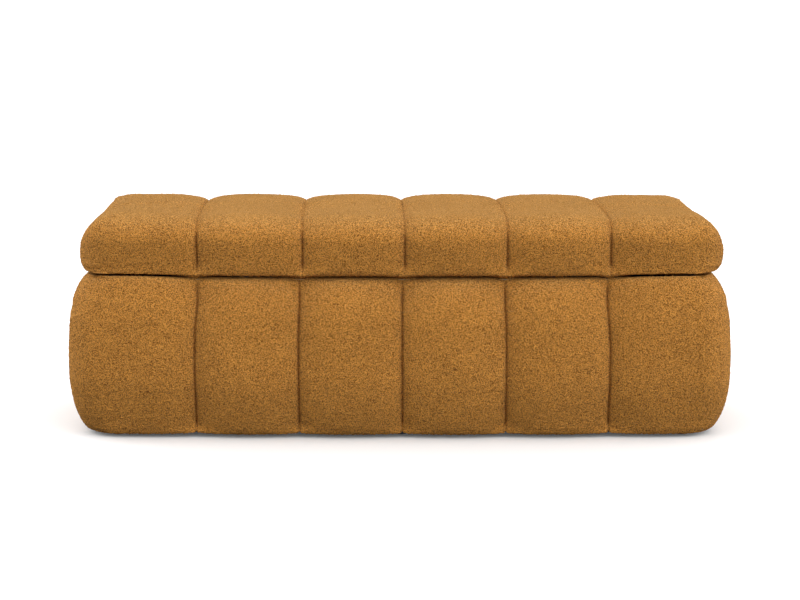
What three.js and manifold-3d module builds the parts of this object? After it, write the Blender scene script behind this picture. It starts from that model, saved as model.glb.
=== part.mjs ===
// Upholstered storage ottoman: a boarded box with padded walls, under a padded lid on hinges and gas struts.
// Millimetres. X runs along the width, the front faces -Y and +Z is up.
// The origin is on the floor, below the middle of the ottoman.
import * as THREE from "three";
import { mergeVertices } from "three/addons/utils/BufferGeometryUtils.js";
import Module from "manifold-3d";

const manifold = await Module();
manifold.setup();

// Overall size.
const WIDTH = 1400;
const DEPTH = 500;
const HEIGHT = 470;
const HINGE_AXIS_Z = 343.5;

// Stock thicknesses.
const BOARD = 15;
const COVER = 3.5;
const LINING = 1.2;
const LEAF = 1.8;
const GAP = 0.3;

// Base: a barrel that bulges all round and draws in to its underside and its rim.
const BASE_BOTTOM_Z = 10.2;
const BASE_BELLY_Z = 166;
const BASE_RIM_Z = HINGE_AXIS_Z - 2.3;
const BASE_BOTTOM_INSET = 50;
const BASE_RIM_INSET = 45;
const BASE_CORNER_RADIUS = 80;
const BACK_FACE_Y = 241.5;
const FLAT_BACK_SHARE = 0.16;

// Lid: narrower than the base's belly, with a rounded rim and a crowned top.
const LID_BOTTOM_Z = HINGE_AXIS_Z + 2.5;
const LID_BELLY_Z = 376;
const LID_SHOULDER_Z = 458;
const LID_INSET = 23;
const LID_BOTTOM_INSET = 24;
const LID_SHOULDER_INSET = 28;
const LID_CORNER_RADIUS = 70;
const LID_CROWN_RUN = 120;
const LID_BACK_Y = 240;
const LID_BACK_BOTTOM_SHARE = 0.3;

// Board frame inside the base, by its outer faces.
const FRAME_SIDE_X = 640;
const FRAME_FRONT_Y = -190;
const FRAME_BACK_Y = 225;
const FRAME_BOTTOM_Z = BASE_BOTTOM_Z + COVER + GAP;
const FRAME_TOP_Z = BASE_RIM_Z - COVER - GAP;
const BATTEN_HEIGHT = 32;
const CORNER_BLOCK = 50;
const BOTTOM_BOARD = 12;

// The well inside the frame.
const WELL_SIDE_X = FRAME_SIDE_X - BOARD;
const WELL_FRONT_Y = FRAME_FRONT_Y + BOARD;
const WELL_BACK_Y = FRAME_BACK_Y - BOARD;
const WELL_FLOOR_Z = FRAME_BOTTOM_Z + BATTEN_HEIGHT + GAP + BOTTOM_BOARD;

// Lid hinges: three butt hinges in the gap behind the rim.
const HINGE_AXIS_Y = 245.5;
const HINGE_XS = [-450, 0, 450];
const KNUCKLE_RADIUS = 4.5;
const KNUCKLE_BORE = 3;
const HINGE_PIN_RADIUS = 2.8;
const KNUCKLE_COUNT = 5;
const KNUCKLE_PITCH = 14.4;
const LEAF_FRONT_Y = 211;

// Gas struts: one beside each end wall of the well.
const LID_OPEN_ANGLE = THREE.MathUtils.degToRad(80);
const STRUT_X = 603;
const STRUT_FOOT = { y: 166, z: 175 };
const STRUT_HEAD = { y: 188, z: 320 };
const SOCKET_RADIUS = 8;
const SOCKET_WIDTH = 11;
const STUD_RADIUS = 4;
const CYLINDER_RADIUS = 9;
const ROD_RADIUS = 4;
const BRACKET_PLATE = 2;
const OPEN_PIVOT_GAP = 0.5;

const SIDES = [["left", -1], ["right", 1]];

const material = (color, roughness, metalness = 0) =>
  new THREE.MeshStandardMaterial({ color, roughness, metalness });
const MATERIALS = {
  boucle: material("#9c6a2f", 0.95),
  foam: material("#efe4c4", 0.9),
  board: material("#c9a06a", 0.7),
  lining: material("#4a4643", 0.9),
  underside: material("#1d1d1f", 0.9),
  zincSteel: material("#b9bcc0", 0.35, 1),
  blackSteel: material("#17181a", 0.4, 0.6),
  rodSteel: material("#d5d8dc", 0.15, 1),
  plastic: material("#141414", 0.5),
  rubber: material("#1c1c1c", 0.8),
};

const ottoman = new THREE.Group();

function addPiece(name, geometry, pieceMaterial) {
  const mesh = new THREE.Mesh(geometry, pieceMaterial);
  mesh.name = name;
  ottoman.add(mesh);
  return mesh;
}

// ---- solids and shapes ----

function toSolid(geometry) {
  const bare = geometry.clone();
  bare.deleteAttribute("normal");
  bare.deleteAttribute("uv");
  const merged = mergeVertices(bare, 1e-4);
  return new manifold.Manifold(new manifold.Mesh({
    numProp: 3,
    vertProperties: new Float32Array(merged.attributes.position.array),
    triVerts: new Uint32Array(merged.index.array),
  }));
}

function toGeometry(solid) {
  const mesh = solid.getMesh();
  const geometry = new THREE.BufferGeometry();
  geometry.setAttribute("position", new THREE.BufferAttribute(new Float32Array(mesh.vertProperties), 3));
  geometry.setIndex(new THREE.BufferAttribute(new Uint32Array(mesh.triVerts), 1));
  return geometry;
}

function cut(geometry, ...tools) {
  const solid = tools.reduce((rest, tool) => rest.subtract(toSolid(tool)), toSolid(geometry));
  return toGeometry(solid);
}

function join(geometry, ...others) {
  const solid = others.reduce((sum, other) => sum.add(toSolid(other)), toSolid(geometry));
  return toGeometry(solid);
}

function keepInside(geometry, region) {
  return toGeometry(toSolid(geometry).intersect(toSolid(region)));
}

// A box from its lowest corner to its highest corner.
function block(low, high) {
  const size = high.map((value, axis) => value - low[axis]);
  const centre = high.map((value, axis) => (value + low[axis]) / 2);
  return new THREE.BoxGeometry(...size).translate(...centre);
}

// A round bar along X, between two x values.
function barAlongX(radius, fromX, toX, y, z, segments = 16) {
  return new THREE.CylinderGeometry(radius, radius, Math.abs(toX - fromX), segments)
    .rotateZ(Math.PI / 2)
    .translate((fromX + toX) / 2, y, z);
}

// A turned solid on the Z axis, from [radius, height] points that close on themselves.
function turned(profile, segments = 16) {
  const points = profile.map(([radius, height]) => new THREE.Vector2(radius, height));
  return new THREE.LatheGeometry(points, segments).rotateX(Math.PI / 2);
}

// Points round a rectangle with rounded corners, anticlockwise seen from above.
function roundedRing(sideX, frontY, backY, radius, z) {
  const steps = 6;
  const corners = [[1, backY - radius], [-1, backY - radius], [-1, frontY + radius], [1, frontY + radius]];
  return corners.flatMap(([sign, centreY], quarter) =>
    Array.from({ length: steps + 1 }, (_, step) => {
      const angle = (quarter + step / steps) * Math.PI / 2;
      const x = sign * (sideX - radius) + radius * Math.cos(angle);
      return new THREE.Vector3(x, centreY + radius * Math.sin(angle), z);
    }));
}

// A closed skin through rings of equal length, from the lowest to the highest.
function loft(rings) {
  const count = rings[0].length;
  const positions = rings.flat().flatMap((point) => point.toArray());
  const triangles = [];
  for (let level = 0; level < rings.length - 1; level += 1) {
    for (let i = 0; i < count; i += 1) {
      const a = level * count + i;
      const b = level * count + (i + 1) % count;
      triangles.push(a, b, b + count, a, b + count, a + count);
    }
  }
  const top = (rings.length - 1) * count;
  for (let i = 1; i < count - 1; i += 1) {
    triangles.push(0, i + 1, i, top, top + i, top + i + 1);
  }
  const geometry = new THREE.BufferGeometry();
  geometry.setAttribute("position", new THREE.Float32BufferAttribute(positions, 3));
  geometry.setIndex(triangles);
  return geometry;
}

// Heights between two levels, closer together towards the far level, where the skin curves most.
function easedHeights(fromZ, toZ, count) {
  return Array.from({ length: count }, (_, i) =>
    fromZ + (toZ - fromZ) * Math.sin((i + 1) / count * Math.PI / 2));
}

// ---- upholstered outer shapes ----

// How far the base's fabric stands in from its belly at a height.
function baseInset(z) {
  if (z < BASE_BELLY_Z) {
    const down = (BASE_BELLY_Z - z) / (BASE_BELLY_Z - BASE_BOTTOM_Z);
    return BASE_BOTTOM_INSET * down ** 3;
  }
  const up = (z - BASE_BELLY_Z) / (BASE_RIM_Z - BASE_BELLY_Z);
  return BASE_RIM_INSET * (0.12 * up + 0.88 * up ** 5);
}

// How far the lid's fabric stands in from its own belly at a height.
function lidInset(z) {
  if (z < LID_BELLY_Z) {
    const down = (LID_BELLY_Z - z) / (LID_BELLY_Z - LID_BOTTOM_Z);
    return LID_BOTTOM_INSET * down ** 2.5;
  }
  const up = (z - LID_BELLY_Z) / (LID_SHOULDER_Z - LID_BELLY_Z);
  return LID_SHOULDER_INSET * up ** 2.8;
}

// Squeezes a height towards the middle of a shape, so that a skin's thickness comes off top and bottom.
function squeezed(z, low, high, skin) {
  const share = (z - low) / (high - low);
  return low + skin + share * (high - low - 2 * skin);
}

function baseShape(skin) {
  const heights = [
    ...easedHeights(BASE_BELLY_Z, BASE_BOTTOM_Z, 6).reverse(),
    BASE_BELLY_Z,
    ...easedHeights(BASE_BELLY_Z, BASE_RIM_Z, 6),
  ];
  return loft(heights.map((z) => {
    const inset = baseInset(z);
    return roundedRing(
      WIDTH / 2 - inset - skin,
      -DEPTH / 2 + inset + skin,
      BACK_FACE_Y - FLAT_BACK_SHARE * inset - skin,
      BASE_CORNER_RADIUS - 1.2 * inset - skin,
      squeezed(z, BASE_BOTTOM_Z, BASE_RIM_Z, skin),
    );
  }));
}

function lidShape(skin) {
  const ring = (z, inset) => roundedRing(
    WIDTH / 2 - LID_INSET - inset - skin,
    -DEPTH / 2 + LID_INSET + inset + skin,
    LID_BACK_Y - (z < LID_BELLY_Z ? LID_BACK_BOTTOM_SHARE : 1) * inset - skin,
    Math.max(LID_CORNER_RADIUS - 1.2 * inset, 30) - skin,
    squeezed(z, LID_BOTTOM_Z, HEIGHT, skin),
  );
  const sides = [
    ...easedHeights(LID_BELLY_Z, LID_BOTTOM_Z, 4).reverse(),
    LID_BELLY_Z,
    ...easedHeights(LID_BELLY_Z, LID_SHOULDER_Z, 6),
  ];
  const crown = [0.2, 0.5, 1].map((run) => {
    const z = LID_SHOULDER_Z + (HEIGHT - LID_SHOULDER_Z) * (1 - (1 - run) ** 2);
    return ring(z, LID_SHOULDER_INSET + run * LID_CROWN_RUN);
  });
  return loft([...sides.map((z) => ring(z, lidInset(z))), ...crown]);
}

// ---- base ----

function addFrame() {
  const low = FRAME_BOTTOM_Z;
  const high = FRAME_TOP_Z;
  const inner = FRAME_SIDE_X - BOARD - GAP;
  addPiece("front_board", block([-FRAME_SIDE_X, FRAME_FRONT_Y, low], [FRAME_SIDE_X, WELL_FRONT_Y, high]),
    MATERIALS.board);
  addPiece("back_board", block([-FRAME_SIDE_X, WELL_BACK_Y, low], [FRAME_SIDE_X, FRAME_BACK_Y, high]),
    MATERIALS.board);
  for (const [side, sign] of SIDES) {
    const xs = [sign * WELL_SIDE_X, sign * FRAME_SIDE_X];
    addPiece(`${side}_board`, block(
      [Math.min(...xs), WELL_FRONT_Y + GAP, low],
      [Math.max(...xs), WELL_BACK_Y - GAP, high],
    ), MATERIALS.board);
  }
  addPiece("bottom_board", block(
    [-inner, WELL_FRONT_Y + GAP, WELL_FLOOR_Z - BOTTOM_BOARD],
    [inner, WELL_BACK_Y - GAP, WELL_FLOOR_Z],
  ), MATERIALS.board);
}

// Blocks and battens under the bottom board, which tie the frame and take the glides' screws.
function addBattens() {
  const low = FRAME_BOTTOM_Z;
  const high = FRAME_BOTTOM_Z + BATTEN_HEIGHT;
  const cleatWidth = 30;
  const battenWidth = 40;
  const battenX = 300;
  const inner = WELL_SIDE_X - GAP;
  const front = WELL_FRONT_Y + GAP;
  const back = WELL_BACK_Y - GAP;
  for (const [side, sign] of SIDES) {
    const xs = [sign * inner, sign * (inner - CORNER_BLOCK)];
    const lowX = Math.min(...xs);
    const highX = Math.max(...xs);
    addPiece(`corner_block_front_${side}`, block([lowX, front, low], [highX, front + CORNER_BLOCK, high]),
      MATERIALS.board);
    addPiece(`corner_block_back_${side}`, block([lowX, back - CORNER_BLOCK, low], [highX, back, high]),
      MATERIALS.board);
  }
  const cleatEnd = inner - CORNER_BLOCK - GAP;
  addPiece("cleat_front", block([-cleatEnd, front, low], [cleatEnd, front + cleatWidth, high]),
    MATERIALS.board);
  addPiece("cleat_back", block([-cleatEnd, back - cleatWidth, low], [cleatEnd, back, high]),
    MATERIALS.board);
  for (const [place, x] of [["left", -battenX], ["middle", 0], ["right", battenX]]) {
    addPiece(`cross_batten_${place}`, block(
      [x - battenWidth / 2, front + cleatWidth + GAP, low],
      [x + battenWidth / 2, back - cleatWidth - GAP, high],
    ), MATERIALS.board);
  }
}

// Foam glued to the four outer faces of the frame.
function addBaseFoam() {
  const padding = baseShape(COVER + GAP);
  const far = 2 * WIDTH;
  const frontY = FRAME_FRONT_Y - GAP;
  const backY = FRAME_BACK_Y + GAP;
  addPiece("front_foam", keepInside(padding, block([-far, -far, -far], [far, frontY, far])), MATERIALS.foam);
  addPiece("back_foam", keepInside(padding, block([-far, backY, -far], [far, far, far])), MATERIALS.foam);
  for (const [side, sign] of SIDES) {
    const xs = [sign * (FRAME_SIDE_X + GAP), sign * far];
    const region = block(
      [Math.min(...xs), frontY + GAP, -far],
      [Math.max(...xs), backY - GAP, far],
    );
    addPiece(`${side}_foam`, keepInside(padding, region), MATERIALS.foam);
  }
}

// The channelled cover: it wraps the foam, turns over the rim to the well, and turns in underneath.
function addBaseCover() {
  const turnIn = 80;
  const mouth = block([-WELL_SIDE_X, WELL_FRONT_Y, FRAME_TOP_Z - BOARD], [WELL_SIDE_X, WELL_BACK_Y, HEIGHT]);
  const below = block(
    [-FRAME_SIDE_X + turnIn, FRAME_FRONT_Y + turnIn, 0],
    [FRAME_SIDE_X - turnIn, FRAME_BACK_Y - turnIn, FRAME_BOTTOM_Z + BATTEN_HEIGHT],
  );
  addPiece("base_cover", cut(baseShape(0), baseShape(COVER), mouth, below), MATERIALS.boucle);
}

function addBaseLining() {
  const top = FRAME_TOP_Z - 1;
  const outer = block(
    [-WELL_SIDE_X + GAP, WELL_FRONT_Y + GAP, WELL_FLOOR_Z + GAP],
    [WELL_SIDE_X - GAP, WELL_BACK_Y - GAP, top],
  );
  const wall = GAP + LINING;
  const inner = block(
    [-WELL_SIDE_X + wall, WELL_FRONT_Y + wall, WELL_FLOOR_Z + wall],
    [WELL_SIDE_X - wall, WELL_BACK_Y - wall, top + BOARD],
  );
  addPiece("base_lining", cut(outer, inner), MATERIALS.lining);
}

function addDustCover() {
  const high = BASE_BOTTOM_Z - GAP;
  const margin = 6;
  addPiece("dust_cover", block(
    [-FRAME_SIDE_X + margin, FRAME_FRONT_Y + margin, high - 1],
    [FRAME_SIDE_X - margin, FRAME_BACK_Y - margin, high],
  ), MATERIALS.underside);
}

// Six round glides: under the corner blocks and under the middles of the cleats.
function addGlides() {
  const height = BASE_BOTTOM_Z - 2 * GAP - 1;
  const radius = 20;
  const profile = [[0, 0], [radius - 3, 0], [radius, 3], [radius - 1, height], [0, height]];
  const inset = CORNER_BLOCK / 2;
  const rows = [["front", WELL_FRONT_Y + inset], ["back", WELL_BACK_Y - inset]];
  const columns = [["left", -WELL_SIDE_X + inset], ["middle", 0], ["right", WELL_SIDE_X - inset]];
  for (const [row, y] of rows) {
    for (const [column, x] of columns) {
      addPiece(`glide_${row}_${column}`, turned(profile), MATERIALS.plastic).position.set(x, y, 0);
    }
  }
}

// Rubber stops on the rim, which carry the front and ends of the closed lid. They keep clear of the seams.
function addRimBumpers() {
  const frontX = 320;
  const endY = -90;
  const low = BASE_RIM_Z + GAP;
  const height = LID_BOTTOM_Z - GAP - low;
  const profile = [[0, 0], [5.5, 0], [4.8, height], [0, height]];
  const middleOfBoard = BOARD / 2;
  for (const [side, sign] of SIDES) {
    addPiece(`bumper_front_${side}`, turned(profile), MATERIALS.rubber)
      .position.set(sign * frontX, WELL_FRONT_Y - middleOfBoard, low);
    addPiece(`bumper_end_${side}`, turned(profile), MATERIALS.rubber)
      .position.set(sign * (WELL_SIDE_X + middleOfBoard), endY, low);
  }
}

// ---- hinges ----

// One leaf of a butt hinge: a plate, and every second knuckle from the first one given.
function hingeLeaf(x, lowZ, firstKnuckle) {
  const halfLength = KNUCKLE_COUNT * KNUCKLE_PITCH / 2;
  const knuckleLength = KNUCKLE_PITCH - 0.4;
  const plateBackY = HINGE_AXIS_Y - KNUCKLE_RADIUS - 0.6;
  let leaf = block([x - halfLength, LEAF_FRONT_Y, lowZ], [x + halfLength, plateBackY, lowZ + LEAF]);
  for (let knuckle = firstKnuckle; knuckle < KNUCKLE_COUNT; knuckle += 2) {
    const fromX = x - halfLength + knuckle * KNUCKLE_PITCH + 0.2;
    const toX = fromX + knuckleLength;
    leaf = join(
      leaf,
      block([fromX, plateBackY - 1, lowZ], [toX, HINGE_AXIS_Y, lowZ + LEAF]),
      barAlongX(KNUCKLE_RADIUS, fromX, toX, HINGE_AXIS_Y, HINGE_AXIS_Z, 20),
    );
  }
  return cut(leaf, barAlongX(KNUCKLE_BORE, x - WIDTH, x + WIDTH, HINGE_AXIS_Y, HINGE_AXIS_Z));
}

function addHinges() {
  const headLength = 1.5;
  const pinHalf = KNUCKLE_COUNT * KNUCKLE_PITCH / 2 + GAP;
  HINGE_XS.forEach((x, index) => {
    const place = ["left", "middle", "right"][index];
    const pin = [
      [0, -pinHalf - headLength], [KNUCKLE_RADIUS - 0.5, -pinHalf - headLength],
      [KNUCKLE_RADIUS - 0.5, -pinHalf], [HINGE_PIN_RADIUS, -pinHalf],
      [HINGE_PIN_RADIUS, pinHalf], [KNUCKLE_RADIUS - 0.5, pinHalf],
      [KNUCKLE_RADIUS - 0.5, pinHalf + headLength], [0, pinHalf + headLength],
    ];
    addPiece(`hinge_leaf_base_${place}`, hingeLeaf(x, BASE_RIM_Z + GAP, 0), MATERIALS.zincSteel);
    addPiece(`hinge_leaf_lid_${place}`, hingeLeaf(x, LID_BOTTOM_Z - GAP - LEAF, 1), MATERIALS.zincSteel);
    addPiece(`hinge_pin_${place}`, turned(pin).rotateY(Math.PI / 2), MATERIALS.zincSteel)
      .position.set(x, HINGE_AXIS_Y, HINGE_AXIS_Z);
  });
}

// ---- gas struts ----

// Where a point of the lid goes when the lid stands open.
function whenOpen({ y, z }) {
  const fromAxisY = y - HINGE_AXIS_Y;
  const fromAxisZ = z - HINGE_AXIS_Z;
  return {
    y: HINGE_AXIS_Y + fromAxisY * Math.cos(LID_OPEN_ANGLE) + fromAxisZ * Math.sin(LID_OPEN_ANGLE),
    z: HINGE_AXIS_Z - fromAxisY * Math.sin(LID_OPEN_ANGLE) + fromAxisZ * Math.cos(LID_OPEN_ANGLE),
  };
}

function footTo({ y, z }) {
  return Math.hypot(y - STRUT_FOOT.y, z - STRUT_FOOT.z);
}

const STRUT_CLOSED = footTo(STRUT_HEAD);
const STRUT_STROKE = footTo(whenOpen(STRUT_HEAD)) - STRUT_CLOSED;
const STRUT_LEAN = Math.atan2(STRUT_HEAD.y - STRUT_FOOT.y, STRUT_HEAD.z - STRUT_FOOT.z);
const FITTING_REACH = 15;

// Lays a piece made along +Z from the foot pivot onto the strut's line at rest.
function layOnStrut(piece, x) {
  piece.position.set(x, STRUT_FOOT.y, STRUT_FOOT.z);
  piece.rotation.x = -STRUT_LEAN;
}

// End fitting: a round socket across the strut, with a neck that screws onto the strut.
function endFitting(pivotS, neckS, bore) {
  const neck = new THREE.CylinderGeometry(5, 5, Math.abs(neckS - pivotS), 16)
    .rotateX(Math.PI / 2)
    .translate(0, 0, (pivotS + neckS) / 2);
  const socket = barAlongX(SOCKET_RADIUS, -SOCKET_WIDTH / 2, SOCKET_WIDTH / 2, 0, pivotS, 20);
  return cut(join(neck, socket), bore);
}

function addStrut(side, sign) {
  const x = sign * STRUT_X;
  const tubeStart = FITTING_REACH + GAP;
  const tubeEnd = STRUT_CLOSED - FITTING_REACH - 12;
  const rodStart = tubeStart + 6;
  const wall = 1.5;
  const guide = ROD_RADIUS + GAP;
  const tube = [
    [0, tubeStart], [CYLINDER_RADIUS - 1, tubeStart], [CYLINDER_RADIUS, tubeStart + 1],
    [CYLINDER_RADIUS, tubeEnd - 1], [CYLINDER_RADIUS - 1, tubeEnd], [guide, tubeEnd], [guide, tubeEnd - 8],
    [CYLINDER_RADIUS - wall, tubeEnd - 8], [CYLINDER_RADIUS - wall, tubeStart + 4], [0, tubeStart + 4],
  ];
  const rodEnd = STRUT_CLOSED - FITTING_REACH - GAP;
  const rod = [[0, rodStart], [ROD_RADIUS, rodStart], [ROD_RADIUS, rodEnd], [0, rodEnd]];
  const boreRadius = STUD_RADIUS + GAP;
  const throughBore = barAlongX(boreRadius, -SOCKET_WIDTH, SOCKET_WIDTH, 0, 0);
  const mouthDepth = 7;
  const mouthFace = sign * SOCKET_WIDTH;
  const mouthBottom = sign * (SOCKET_WIDTH / 2 - mouthDepth);
  const mouth = barAlongX(boreRadius, mouthBottom, mouthFace, 0, STRUT_CLOSED);
  layOnStrut(addPiece(`strut_cylinder_${side}`, turned(tube), MATERIALS.blackSteel), x);
  layOnStrut(addPiece(`strut_rod_${side}`, turned(rod), MATERIALS.rodSteel), x);
  layOnStrut(addPiece(`strut_foot_socket_${side}`, endFitting(0, FITTING_REACH, throughBore),
    MATERIALS.plastic), x);
  layOnStrut(addPiece(`strut_head_socket_${side}`,
    endFitting(STRUT_CLOSED, STRUT_CLOSED - FITTING_REACH, mouth), MATERIALS.plastic), x);
}

// The base's bracket: a plate on the end wall, with a stud that carries the strut's foot.
function addBaseBracket(side, sign) {
  const halfWidth = 16;
  const halfHeight = 25;
  const wallX = WELL_SIDE_X - LINING - 2 * GAP;
  const plateInnerX = wallX - BRACKET_PLATE;
  const studEnd = STRUT_X - SOCKET_WIDTH / 2 - OPEN_PIVOT_GAP;
  const xs = [sign * plateInnerX, sign * wallX];
  const plate = block(
    [Math.min(...xs), STRUT_FOOT.y - halfWidth, STRUT_FOOT.z - halfHeight],
    [Math.max(...xs), STRUT_FOOT.y + halfWidth, STRUT_FOOT.z + halfHeight],
  );
  const stud = barAlongX(STUD_RADIUS, sign * studEnd, sign * (plateInnerX + 1), STRUT_FOOT.y, STRUT_FOOT.z);
  addPiece(`strut_bracket_base_${side}`, join(plate, stud), MATERIALS.zincSteel);
}

// The lid's bracket: an angle under the lid board, whose stud stops just short of the strut's head socket.
function addLidBracket(side, sign) {
  const plateLength = 28;
  const halfTab = 10;
  const plateTop = LID_BOTTOM_Z - 2 * GAP - 1;
  const tabInnerX = STRUT_X + SOCKET_WIDTH / 2 + 5;
  const tabOuterX = tabInnerX + BRACKET_PLATE;
  const spanX = (fromX, toX, y, z) => {
    const xs = [sign * fromX, sign * toX];
    return block([Math.min(...xs), y[0], z[0]], [Math.max(...xs), y[1], z[1]]);
  };
  const plate = spanX(tabInnerX - plateLength, tabOuterX, [STRUT_HEAD.y - 18, STRUT_HEAD.y + 16],
    [plateTop - BRACKET_PLATE, plateTop]);
  const tab = spanX(tabInnerX, tabOuterX, [STRUT_HEAD.y - halfTab, STRUT_HEAD.y + halfTab],
    [STRUT_HEAD.z - halfTab, plateTop]);
  const stud = barAlongX(STUD_RADIUS, sign * (STRUT_X + SOCKET_WIDTH / 2 + OPEN_PIVOT_GAP),
    sign * (tabInnerX + 1), STRUT_HEAD.y, STRUT_HEAD.z);
  addPiece(`strut_bracket_lid_${side}`, join(plate, tab, stud), MATERIALS.zincSteel);
}

// ---- lid ----

const LID_BOARD_SIDE_X = 632;
const LID_BOARD_FRONT_Y = -186;
const LID_BOARD_BACK_Y = 222;
const LID_BOARD_CORNER_RADIUS = 35;
const LID_BOARD_BOTTOM_Z = LID_BOTTOM_Z + COVER + GAP;

// A slab of the lid board's outline, grown sideways by a margin, between two heights.
function lidBoardSlab(margin, lowZ, highZ) {
  return loft([lowZ, highZ].map((z) => roundedRing(
    LID_BOARD_SIDE_X + margin,
    LID_BOARD_FRONT_Y - margin,
    LID_BOARD_BACK_Y + margin,
    Math.max(LID_BOARD_CORNER_RADIUS + margin, BOARD),
    z,
  )));
}

function addLid() {
  const turnIn = 60;
  const boardTop = LID_BOARD_BOTTOM_Z + BOARD;
  const recess = lidBoardSlab(GAP, BASE_RIM_Z, boardTop + GAP);
  const below = lidBoardSlab(-turnIn, BASE_RIM_Z, boardTop);
  addPiece("lid_board", lidBoardSlab(0, LID_BOARD_BOTTOM_Z, boardTop), MATERIALS.board);
  addPiece("lid_foam", cut(lidShape(COVER + GAP), recess), MATERIALS.foam);
  addPiece("lid_cover", cut(lidShape(0), lidShape(COVER), below), MATERIALS.boucle);
  const liningTop = LID_BOTTOM_Z - GAP;
  const margin = 7;
  addPiece("lid_lining", block(
    [-WELL_SIDE_X + margin, WELL_FRONT_Y + margin, liningTop - 1],
    [WELL_SIDE_X - margin, LEAF_FRONT_Y - margin, liningTop],
  ), MATERIALS.lining);
}

addFrame();
addBattens();
addBaseFoam();
addBaseCover();
addBaseLining();
addDustCover();
addGlides();
addRimBumpers();
addHinges();
for (const [side, sign] of SIDES) {
  addStrut(side, sign);
  addBaseBracket(side, sign);
  addLidBracket(side, sign);
}
addLid();

// Joint values that the strut's geometry gives: its stroke, and how far it leans as the lid opens.
const openHead = whenOpen(STRUT_HEAD);
const openLean = Math.atan2(openHead.y - STRUT_FOOT.y, openHead.z - STRUT_FOOT.z);
ottoman.userData = {
  strutStroke: STRUT_STROKE,
  strutStrokePerRadian: STRUT_STROKE / LID_OPEN_ANGLE,
  strutLean: STRUT_LEAN,
  strutLeanPerRadian: (openLean - STRUT_LEAN) / LID_OPEN_ANGLE,
};

export default ottoman;
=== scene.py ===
"""Looks of a long storage ottoman in mustard boucle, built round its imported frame.

Metres. X runs along the width, the front faces -Y and +Z is up. The padded base and the padded lid are
modelled here as fine skins over their foam; the boards, hinges and struts are the frame's own.
"""

import math

import bmesh
import bpy
import numpy as np
from mathutils import Matrix, Vector, noise


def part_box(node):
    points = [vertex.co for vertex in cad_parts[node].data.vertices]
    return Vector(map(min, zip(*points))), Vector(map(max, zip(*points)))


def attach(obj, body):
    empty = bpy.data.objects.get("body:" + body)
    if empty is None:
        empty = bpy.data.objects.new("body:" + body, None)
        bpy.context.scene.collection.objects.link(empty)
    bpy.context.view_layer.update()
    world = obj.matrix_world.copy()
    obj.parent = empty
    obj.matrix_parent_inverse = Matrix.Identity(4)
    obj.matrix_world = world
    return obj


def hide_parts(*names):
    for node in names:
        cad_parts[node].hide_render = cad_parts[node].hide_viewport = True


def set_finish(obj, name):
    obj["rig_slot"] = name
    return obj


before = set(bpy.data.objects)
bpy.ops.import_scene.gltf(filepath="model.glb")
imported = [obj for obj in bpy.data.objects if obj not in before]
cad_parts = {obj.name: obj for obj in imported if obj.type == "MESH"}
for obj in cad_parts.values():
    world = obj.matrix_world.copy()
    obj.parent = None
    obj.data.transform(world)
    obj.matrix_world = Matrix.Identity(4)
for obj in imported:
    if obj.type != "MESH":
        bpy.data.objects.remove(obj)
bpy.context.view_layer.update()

MM = 0.001
STEP = 2.1 * MM

# ---- sizes read from the frame ----

BASE_LOW, BASE_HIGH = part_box("base_cover")
LID_LOW, LID_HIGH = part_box("lid_cover")
FRAME_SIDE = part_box("front_board")[1].x
FRAME_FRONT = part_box("front_board")[0].y
FRAME_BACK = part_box("back_board")[1].y
FRAME_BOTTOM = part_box("front_board")[0].z
FRAME_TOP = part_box("front_board")[1].z
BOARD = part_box("front_board")[1].y - FRAME_FRONT
LID_BOARD_LOW, LID_BOARD_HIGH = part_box("lid_board")

# ---- sewn channels ----

CHANNEL = 214.2 * MM
BASE_SEAMS = [5 * MM + CHANNEL * k for k in (-2, -1, 0, 1, 2)]
LID_SEAMS = [seam + drift * MM for seam, drift in zip(BASE_SEAMS, (-5, 2, 1, 1, 3))]
END_SEAM = 4 * MM


def smooth(edge_a, edge_b, value):
    """0 before edge_a, 1 after edge_b, and a smooth step between them."""
    t = np.clip((np.asarray(value, float) - edge_a) / (edge_b - edge_a), 0, 1)
    return t * t * (3 - 2 * t)


def spaced(start, stop, step, fine_start=False, fine_stop=False):
    """Positions from start up to, but without, stop. They lie closer together beside a seam."""
    count = max(2, round(abs(stop - start) / step))
    t = np.arange(count) / count
    if fine_start and fine_stop:
        t = t - 0.5 * np.sin(2 * np.pi * t) / (2 * np.pi)
    elif fine_stop:
        t = t + 0.5 * (t - t * t)
    elif fine_start:
        t = t - 0.5 * (t - t * t)
    return start + (stop - start) * t


def stops_along(low, high, seams, step):
    """Grid lines from low to high, both ends included, with one on each seam."""
    marks = [low, *seams, high]
    runs = [
        spaced(a, b, step, fine_start=k > 0, fine_stop=k < len(marks) - 2)
        for k, (a, b) in enumerate(zip(marks, marks[1:]))
    ]
    return np.concatenate([*runs, [high]])


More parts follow.
